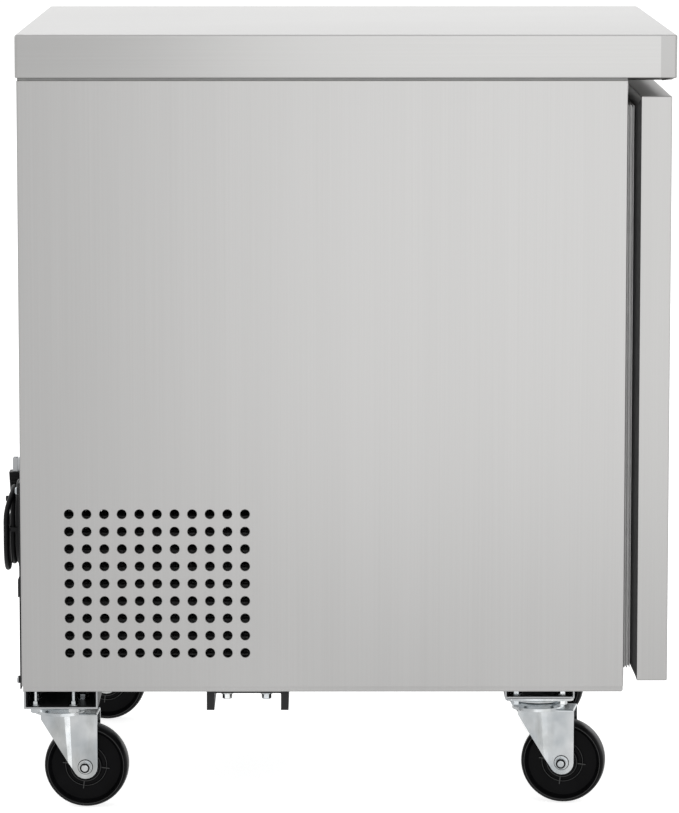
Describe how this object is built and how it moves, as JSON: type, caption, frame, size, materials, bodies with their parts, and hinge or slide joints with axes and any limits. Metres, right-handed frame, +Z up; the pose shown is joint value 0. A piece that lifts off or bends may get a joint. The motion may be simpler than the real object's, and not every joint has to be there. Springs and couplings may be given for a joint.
{
  "type": "under counter fridge",
  "caption": "Under counter fridge: stainless cabinet with worktop, one hinged door, side vents and swivel casters.",
  "frame": {"origin": "on the floor under the middle of the worktop", "axes": "+X to the door's hinge side, -Y to the front, +Z up"},
  "size_m": [0.6984, 0.804, 0.921],
  "materials": {
    "stainless": "fine upright brushing, satin",
    "galvanised": "dull zinc spangle",
    "zinc": "bright zinc plate over pressed steel",
    "black_steel": "black paint, satin",
    "wheel_plastic": "moulded black, semi-gloss",
    "black_plastic": "moulded black, fine grain",
    "grey_plastic": "moulded grey",
    "gasket": "soft grey vinyl, dull",
    "white_plastic": "white plastic, satin",
    "foam": "rigid foam, open grain",
    "aluminium": "mill finish",
    "copper": "drawn copper",
    "cable": "black cable jacket, dull"
  },
  "bodies": {
    "root": {"bottom_hinge_bracket": "zinc", "bottom_panel": "galvanised", "breaker_strip": "white_plastic", "centre_channel": "black_steel", "compartment_wall": "galvanised", "compressor": "black_steel", "condenser_coil": "aluminium", "condenser_fan_motor": "black_steel", "control_box": "grey_plastic", "cord_gland": "cable", "cord_hank": "cable", "cord_hook": "black_steel", "cord_lead": "cable", "cord_tail": "cable", "evaporator": "aluminium", "evaporator_cover": "white_plastic", "filter_drier": "copper", "front_caster_channel": "black_steel", "front_frame": "stainless", "front_left_caster_plate": "zinc", "front_right_caster_plate": "zinc", "inner_liner": "aluminium", "insulation": "foam", "left_shelf_rack": "stainless", "left_side_panel": "stainless", "power_plug": "cable", "rear_caster_channel": "black_steel", "rear_cover": "black_steel", "rear_left_caster_plate": "zinc", "rear_panel": "galvanised", "rear_right_caster_plate": "zinc", "right_shelf_rack": "stainless", "right_side_panel": "stainless", "top_hinge_bracket": "zinc", "top_panel": "galvanised", "unit_base": "galvanised", "wire_shelf": "stainless", "worktop": "stainless", "worktop_core": "foam"},
    "door": {"door_skin": "stainless", "door_foam": "foam", "door_liner": "black_plastic", "door_gasket": "gasket", "door_handle_cup": "grey_plastic"},
    "front_left_fork": {"front_left_caster_fork": "zinc", "front_left_caster_axle": "zinc"},
    "front_left_wheel": {"front_left_caster_wheel": "wheel_plastic"},
    "front_right_fork": {"front_right_caster_fork": "zinc", "front_right_caster_axle": "zinc"},
    "front_right_wheel": {"front_right_caster_wheel": "wheel_plastic"},
    "rear_left_fork": {"rear_left_caster_fork": "zinc", "rear_left_caster_axle": "zinc"},
    "rear_left_wheel": {"rear_left_caster_wheel": "wheel_plastic"},
    "rear_right_fork": {"rear_right_caster_fork": "zinc", "rear_right_caster_axle": "zinc"},
    "rear_right_wheel": {"rear_right_caster_wheel": "wheel_plastic"},
    "evaporator_fan": {"evaporator_fan": "black_plastic"},
    "condenser_fan": {"condenser_fan": "black_plastic"},
    "thermostat_knob": {"thermostat_knob": "black_plastic"},
    "power_switch": {"power_switch": "black_plastic"}
  },
  "joints": [
    {"name": "door_hinge", "type": "hinge", "parent": "root", "child": "door", "pos_m": [0.33725, -0.3582, 0.50845], "axis": [0, 0, 1], "range_deg": [0, 110]},
    {"name": "front_left_swivel", "type": "hinge", "parent": "root", "child": "front_left_fork", "pos_m": [-0.23455, -0.2303, 0.118], "axis": [0, 0, 1], "continuous": true},
    {"name": "front_left_roll", "type": "hinge", "parent": "front_left_fork", "child": "front_left_wheel", "pos_m": [-0.23932, -0.26042, 0.05], "axis": [0.9877, -0.1564, 0], "continuous": true},
    {"name": "front_right_swivel", "type": "hinge", "parent": "root", "child": "front_right_fork", "pos_m": [0.23455, -0.2303, 0.118], "axis": [0, 0, 1], "continuous": true},
    {"name": "front_right_roll", "type": "hinge", "parent": "front_right_fork", "child": "front_right_wheel", "pos_m": [0.22978, -0.26042, 0.05], "axis": [0.9877, -0.1564, 0], "continuous": true},
    {"name": "rear_left_swivel", "type": "hinge", "parent": "root", "child": "rear_left_fork", "pos_m": [-0.26065, 0.3383, 0.118], "axis": [0, 0, 1], "continuous": true},
    {"name": "rear_left_roll", "type": "hinge", "parent": "rear_left_fork", "child": "rear_left_wheel", "pos_m": [-0.26225, 0.30784, 0.05], "axis": [0.9986, -0.0523, 0], "continuous": true},
    {"name": "rear_right_swivel", "type": "hinge", "parent": "root", "child": "rear_right_fork", "pos_m": [0.26065, 0.3383, 0.118], "axis": [0, 0, 1], "continuous": true},
    {"name": "rear_right_roll", "type": "hinge", "parent": "rear_right_fork", "child": "rear_right_wheel", "pos_m": [0.25905, 0.30784, 0.05], "axis": [0.9986, -0.0523, 0], "continuous": true},
    {"name": "evaporator_fan_spin", "type": "hinge", "parent": "root", "child": "evaporator_fan", "pos_m": [0.122, 0.2539, 0.5316], "axis": [0, 1, 0], "continuous": true},
    {"name": "condenser_fan_spin", "type": "hinge", "parent": "root", "child": "condenser_fan", "pos_m": [-0.25925, 0.2206, 0.2752], "axis": [1, 0, 0], "continuous": true},
    {"name": "thermostat_turn", "type": "hinge", "parent": "root", "child": "thermostat_knob", "pos_m": [-0.15, 0.222, 0.5896], "axis": [0, 1, 0], "range_deg": [-135, 135]},
    {"name": "power_switch_rock", "type": "hinge", "parent": "root", "child": "power_switch", "pos_m": [0.201, 0.378, 0.372], "axis": [1, 0, 0], "range_deg": [-9, 0]}
  ]
}
